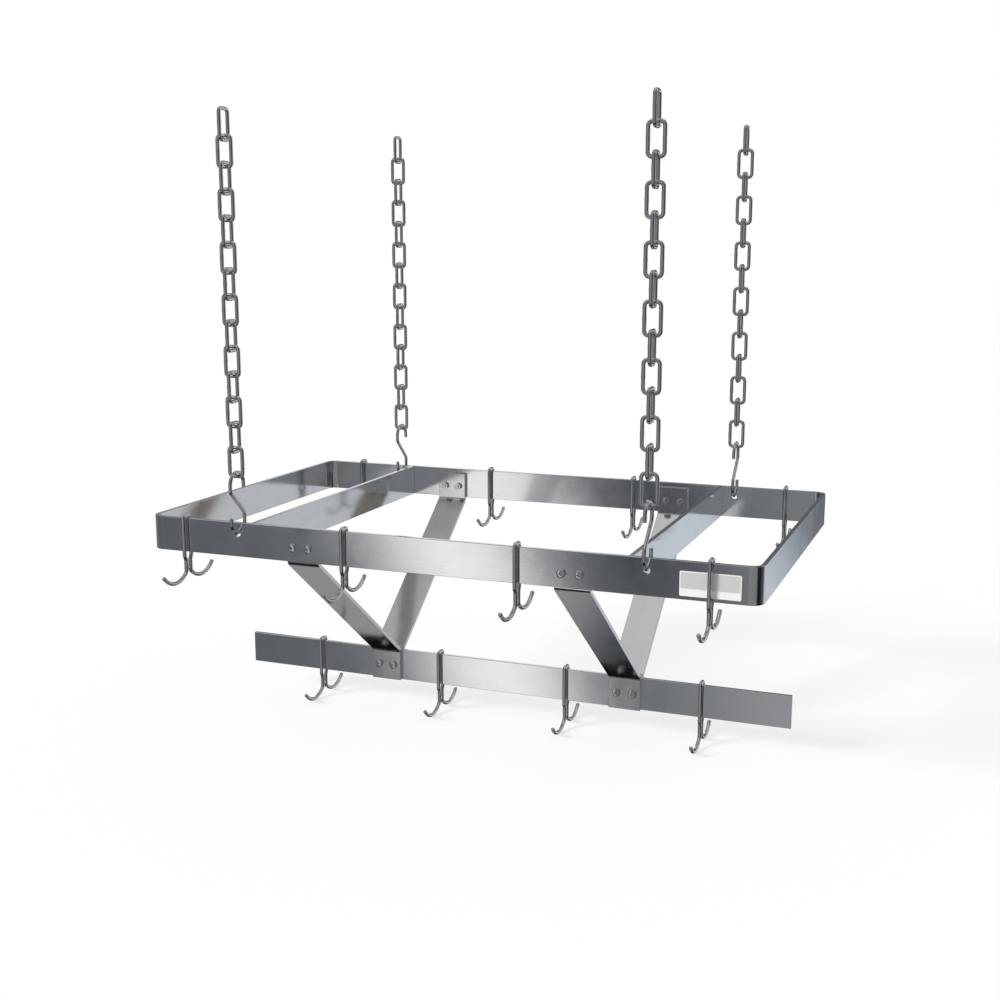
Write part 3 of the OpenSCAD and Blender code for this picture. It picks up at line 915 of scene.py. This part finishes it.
# %% Lay the floor
FLOOR_GAP = 0.5 * MM
FLOOR_HALF_SIZE = 30.0
floor_mesh = bmesh.new()
bmesh.ops.create_grid(floor_mesh, x_segments=1, y_segments=1, size=FLOOR_HALF_SIZE)
floor = as_object("floor", floor_mesh)
floor.location.z = cad_low.z - FLOOR_GAP
floor.visible_glossy = False
print("floor at", round(floor.location.z, 4), "m")


# %% Paint the floor pale, with its shadow kept
def seen_directly(material):
    """One where the camera, a reflection or a clear piece looks, and nothing for soft light"""
    rays = add_node(material, "ShaderNodeLightPath").outputs
    first = math_node(material, "MAXIMUM", rays["Is Camera Ray"], rays["Is Glossy Ray"])
    return math_node(material, "MAXIMUM", first, rays["Is Transmission Ray"])


FLOOR_WHITE = 0.3
FLOOR_LIFT = 0.70
pale = bpy.data.materials.new("pale_floor")
pale.use_nodes = True
pale_tree = pale.node_tree
pale_tree.nodes.remove(pale_tree.nodes["Principled BSDF"])
paint_colour = (FLOOR_WHITE, FLOOR_WHITE, FLOOR_WHITE, 1.0)
paint = add_node(pale, "ShaderNodeBsdfDiffuse", {"Color": paint_colour})
lift_level = math_node(pale, "MULTIPLY", seen_directly(pale), FLOOR_LIFT)
lift = add_node(pale, "ShaderNodeEmission", feeds={"Strength": lift_level})
painted = add_node(
    pale, "ShaderNodeAddShader", feeds={0: paint.outputs["BSDF"], 1: lift.outputs["Emission"]}
)
pale_tree.links.new(painted.outputs["Shader"], pale_tree.nodes["Material Output"].inputs["Surface"])
floor.data.materials.append(pale)
print("floor white:", FLOOR_WHITE, "lifted by", FLOOR_LIFT)

# %% [markdown]
# ## Soft light
# The light is that of a bright studio: even from all sides, with one soft lamp from the left
# that throws the shadow. A ring of lamps could give the even part, but each lamp would show
# in the wires as a dot. A world that shines white all round shows none.

# %% Fill the room with soft light
SOFT_LEVEL = 0.56
world = bpy.data.worlds.new("studio")
world.use_nodes = True
bpy.context.scene.world = world
background = world.node_tree.nodes["Background"]
background.inputs["Color"].default_value = (1.0, 1.0, 1.0, 1.0)
world_level = remap(world, seen_directly(world), 0.0, 1.0, SOFT_LEVEL, 1.0)
world.node_tree.links.new(world_level, background.inputs["Strength"])
print("soft light:", SOFT_LEVEL, "of white")

# %% One soft lamp from the left for the shadow
KEY_HEIGHT = math.radians(26)
KEY_SPREAD = math.radians(16)
KEY_FROM = Vector((-0.7, -0.6, 0.0)).normalized()
KEY_SHARE = 0.45
lamp_data = bpy.data.lights.new("key", "SUN")
lamp_data.angle = KEY_SPREAD
lamp_data.energy = KEY_SHARE * math.pi / math.sin(KEY_HEIGHT)
lamp = bpy.data.objects.new("key", lamp_data)
to_lamp = KEY_FROM * math.cos(KEY_HEIGHT) + UPWARD * math.sin(KEY_HEIGHT)
lamp.rotation_euler = to_lamp.to_track_quat("Z", "Y").to_euler()
lamp.visible_glossy = False
bpy.context.scene.collection.objects.link(lamp)
print("lamp:", round(lamp_data.energy, 3), "W per square metre")

# %% [markdown]
# ## The screens
# Steel has no colour of its own: it shows the room. A bare white room would make it look
# like paper, so large grey screens stand round the rack, far outside the picture, with gaps
# between them through which the steel sees white. They could be boards, but each would need
# its place, size and edges moved until the steel shows what it should. So they are one ball
# of thin cloth that only reflections meet, and its cloth is thick or thin by direction.
#
# How thick it is at each compass direction is written as a row of stops, counted in degrees
# from straight in front, positive to the left. Two rows serve the heights that the band and
# the lower bar reflect, and the others what lies deep below, the ground, the slope above and
# the ceiling; all blend by height. Each stop gives how thick the cloth is and how bright its
# own slate grey is. The narrow gap at 22 degrees is the bright patch in the long bars. It
# leans: its bearing changes with height by the tilt share, counted from where the front bar
# is seen.

# %% Hang the screens
SCREEN_DISTANCE = 10.0
screen_mesh = bmesh.new()
bmesh.ops.create_uvsphere(screen_mesh, u_segments=96, v_segments=48, radius=SCREEN_DISTANCE)
screens = as_object("screens", screen_mesh)
screens.location = (0.0, 0.0, band_middle_z)
for ray_kind in ("camera", "diffuse", "shadow", "transmission", "volume_scatter"):
    setattr(screens, "visible_" + ray_kind, False)
print("screens at", SCREEN_DISTANCE, "m")

# %% Find the compass direction of each place on the cloth
DEGREE = 180 / math.pi
cloth = bpy.data.materials.new("screen_cloth")
cloth.use_nodes = True
cloth_tree = cloth.node_tree
cloth_tree.nodes.remove(cloth_tree.nodes["Principled BSDF"])
cloth_place = add_node(cloth, "ShaderNodeTexCoord").outputs["Object"]
cloth_unit = add_node(cloth, "ShaderNodeVectorMath", feeds={0: cloth_place})
cloth_unit.operation = "NORMALIZE"
cloth_axes = add_node(
    cloth, "ShaderNodeSeparateXYZ", feeds={"Vector": cloth_unit.outputs["Vector"]}
).outputs
from_left = math_node(cloth, "MULTIPLY", cloth_axes["X"], -1.0)
from_front = math_node(cloth, "MULTIPLY", cloth_axes["Y"], -1.0)
bearing = math_node(cloth, "MULTIPLY", math_node(cloth, "ARCTAN2", from_left, from_front), DEGREE)
height_angle = math_node(cloth, "MULTIPLY", math_node(cloth, "ARCSINE", cloth_axes["Z"]), DEGREE)
print("made:", cloth.name)

# %% Write how thick the cloth is all round
SLATE = (0.92, 1.0, 1.12)
UMBER = (1.25, 1.0, 0.72)
back_stops = [
    (-180, 0.98, 0.1), (-169.9, 0.99, 0.1), (-169.1, 1.0, 0.26), (-168.0, 1.0, 0.54),
    (-166.8, 1.0, 0.66), (-145, 0.51, 0.1), (-132, 0.42, 0.1), (-120, 0.88, 0.1),
    (-106, 1.0, 0.06), (-91, 1.0, 0.05), (-84, 1.0, 0.012), (-62, 1.0, 0.012),
    (-52, 0.89, 0.1), (2, 0.86, 0.1),
]
far_stops = [
    (60, 0.99, 0.1), (100, 0.90, 0.1), (136, 0.85, 0.1), (141, 0.25, 0.1), (152, 0.25, 0.1),
    (156, 0.98, 0.1), (180, 0.98, 0.1),
]
around_stops = back_stops + [
    (8, 0.905, 0.1), (10.2, 0.985, 0.077), (14, 1.0, 0.056), (16.5, 0.975, 0.08), (18.1, 0.74, 0.1),
    (20.2, 0.08, 0.1), (21.2, 0.0, 0.1), (23.6, 0.0, 0.1), (24.6, 0.12, 0.1), (26.5, 0.78, 0.1),
    (28.8, 0.975, 0.1),
] + far_stops
low_stops = back_stops + [
    (9.2, 0.74, 0.1), (12.2, 0.83, 0.1), (15.3, 0.93, 0.1), (18.0, 0.96, 0.1), (19.4, 0.76, 0.1),
    (21.7, 0.10, 0.1), (22.6, 0.0, 0.1), (25.2, 0.0, 0.1), (26.2, 0.12, 0.1), (28.2, 0.76, 0.1),
    (30.1, 0.96, 0.1),
] + far_stops
ground_stops = [
    (-180, 0.98, 0.06), (-120, 0.97, 0.05), (-60, 1.0, 0.005), (58, 1.0, 0.002), (80, 0.97, 0.06),
    (120, 0.78, 0.1), (136, 0.76, 0.1), (147, 0.74, 0.1), (149.5, 0.80, 0.1), (151.5, 0.91, 0.1),
    (153.5, 1.0, 0.07), (156, 1.0, 0.036), (180, 0.98, 0.06),
]
sky_stops = [
    (-180, 0.6, 0.1), (-125, 0.62, 0.1), (-108, 0.93, 0.1), (-62, 0.92, 0.1), (-40, 0.78, 0.1),
    (0, 0.8, 0.1), (60, 0.6, 0.1), (88, 0.58, 0.1), (96, 0.76, 0.1), (120, 0.8, 0.1),
    (180, 0.6, 0.1),
]
top_stops = [(-180, 0.42, 0.1), (180, 0.42, 0.1)]
deep_stops = [(-180, 0.80, 0.1), (180, 0.80, 0.1)]
print("stops:", len(around_stops), "for the band and", len(low_stops), "for the lower bar")


# %% Turn the rows of stops into ramps
TILT_SHARE = 0.38
BAR_SIGHT_ANGLE = -13.3
WARM_FROM = -125
WARM_TO = -40


def stops_row(stops, bearing_value, warm_from=0, warm_to=0):
    """A ramp over the compass: red is how thick the cloth is, green its grey, blue its warmth"""
    share = math_node(cloth, "MULTIPLY_ADD", bearing_value, 1 / 360, 0.5)
    ramp = add_node(cloth, "ShaderNodeValToRGB", feeds={"Fac": share})
    elements = ramp.color_ramp.elements
    elements[0].position = 0.0
    elements[1].position = 1.0
    for stop in stops[1:-1]:
        elements.new((stop[0] + 180) / 360)
    ordered = sorted(elements, key=lambda element: element.position)
    for element, (degrees, thickness, grey) in zip(ordered, stops):
        warmth = 1.0 if warm_from < degrees < warm_to else 0.0
        element.color = (thickness, grey, warmth, 1.0)
    return ramp.outputs["Color"]


above_sight = math_node(cloth, "SUBTRACT", height_angle, BAR_SIGHT_ANGLE)
slant = math_node(cloth, "MULTIPLY", above_sight, TILT_SHARE)
upright_bearing = math_node(cloth, "SUBTRACT", bearing, slant)
around = stops_row(around_stops, upright_bearing)
low = stops_row(low_stops, upright_bearing)
ground = stops_row(ground_stops, bearing)
sky = stops_row(sky_stops, bearing, WARM_FROM, WARM_TO)
top = stops_row(top_stops, bearing)
deep = stops_row(deep_stops, bearing)
print("warm above between", WARM_FROM, "and", WARM_TO, "degrees")


# %% Blend the rows by height and weave the cloth
def blend_by_height(lower, upper, start, end):
    """Lower below the start angle, upper above the end angle, and a blend in between"""
    mix = add_node(cloth, "ShaderNodeMix", feeds={"Factor": remap(cloth, height_angle, start, end)})
    mix.data_type = "RGBA"
    cloth_tree.links.new(lower, mix.inputs["A"])
    cloth_tree.links.new(upper, mix.inputs["B"])
    return mix.outputs["Result"]


bar_part = blend_by_height(low, around, -19, -15)
floor_part = blend_by_height(deep, ground, -70, -61)
lower_part = blend_by_height(floor_part, bar_part, -42, -30)
upper_part = blend_by_height(lower_part, sky, 30, 55)
whole = blend_by_height(upper_part, top, 66, 76)
parts = add_node(cloth, "ShaderNodeSeparateColor", feeds={"Color": whole}).outputs
tint = colour_between(cloth, parts["Blue"], SLATE, UMBER)
glow = add_node(cloth, "ShaderNodeEmission", feeds={"Color": tint, "Strength": parts["Green"]})
see_through = add_node(cloth, "ShaderNodeBsdfTransparent")
weave = add_node(
    cloth, "ShaderNodeMixShader",
    feeds={"Fac": parts["Red"], 1: see_through.outputs["BSDF"], 2: glow.outputs["Emission"]},
)
cloth_tree.links.new(weave.outputs["Shader"], cloth_tree.nodes["Material Output"].inputs["Surface"])
cloth.cycles.emission_sampling = "NONE"
screens.data.materials.append(cloth)
print("screens done")

# %% [markdown]
# ## Colours as they are written
# A film-like view would grey the white floor, so the picture uses the plain view, in which
# a colour comes out about as it was written.

# %% Set the view
bpy.context.scene.view_settings.view_transform = "Standard"
bpy.context.view_layer.update()
